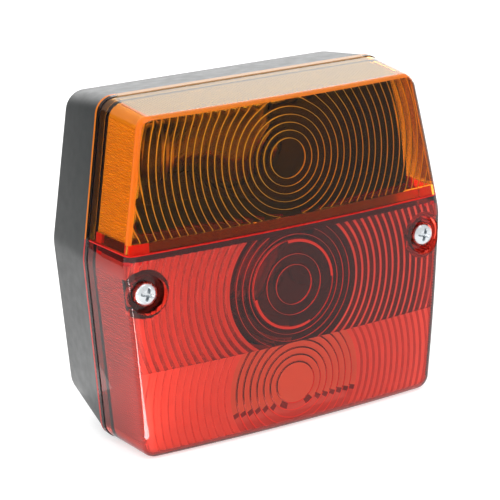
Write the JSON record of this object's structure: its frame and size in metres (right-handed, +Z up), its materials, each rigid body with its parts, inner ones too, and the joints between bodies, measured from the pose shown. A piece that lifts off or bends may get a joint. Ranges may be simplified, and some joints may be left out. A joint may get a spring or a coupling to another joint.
{
  "type": "trailer rear combination lamp",
  "caption": "Rear combination lamp: black moulded base with mounting studs, amber and red Fresnel lens, clear number plate window, bulbs on sheet metal holders.",
  "frame": {"origin": "midway between the two mounting studs, on the flat rear face of the base", "axes": "+X to the right seen from the front of the lamp, +Y out of the rear face towards the vehicle, +Z up; the lens faces -Y"},
  "size_m": [0.1064, 0.064, 0.0989],
  "materials": {
    "base": "satin black moulded ABS",
    "amber": "clear amber acrylic, glossy",
    "red": "clear red acrylic, glossy",
    "clear": "clear acrylic, glossy",
    "rubber": "soft black rubber",
    "zinc": "bright zinc-plated steel",
    "brass": "spring brass strip",
    "nickel": "nickel-plated brass cap",
    "bulb_glass": "clear blown glass"
  },
  "bodies": {
    "root": {"base_housing": "base", "lens_seal": "rubber", "amber_lens": "amber", "red_lens": "red", "plate_window": "clear", "lens_screw_left": "zinc", "lens_screw_right": "zinc", "mount_stud_left": "zinc", "mount_stud_right": "zinc", "cable_grommet": "rubber", "indicator_holder": "nickel", "indicator_contact": "brass", "indicator_cap": "nickel", "indicator_glass": "bulb_glass", "stop_holder": "nickel", "stop_contact": "brass", "stop_cap": "nickel", "stop_glass": "bulb_glass", "tail_clip_left": "brass", "tail_clip_right": "brass", "tail_caps": "nickel", "tail_glass": "bulb_glass", "earth_strip": "nickel", "holder_rivets": "zinc", "terminal_screws": "zinc"}
  },
  "joints": []
}
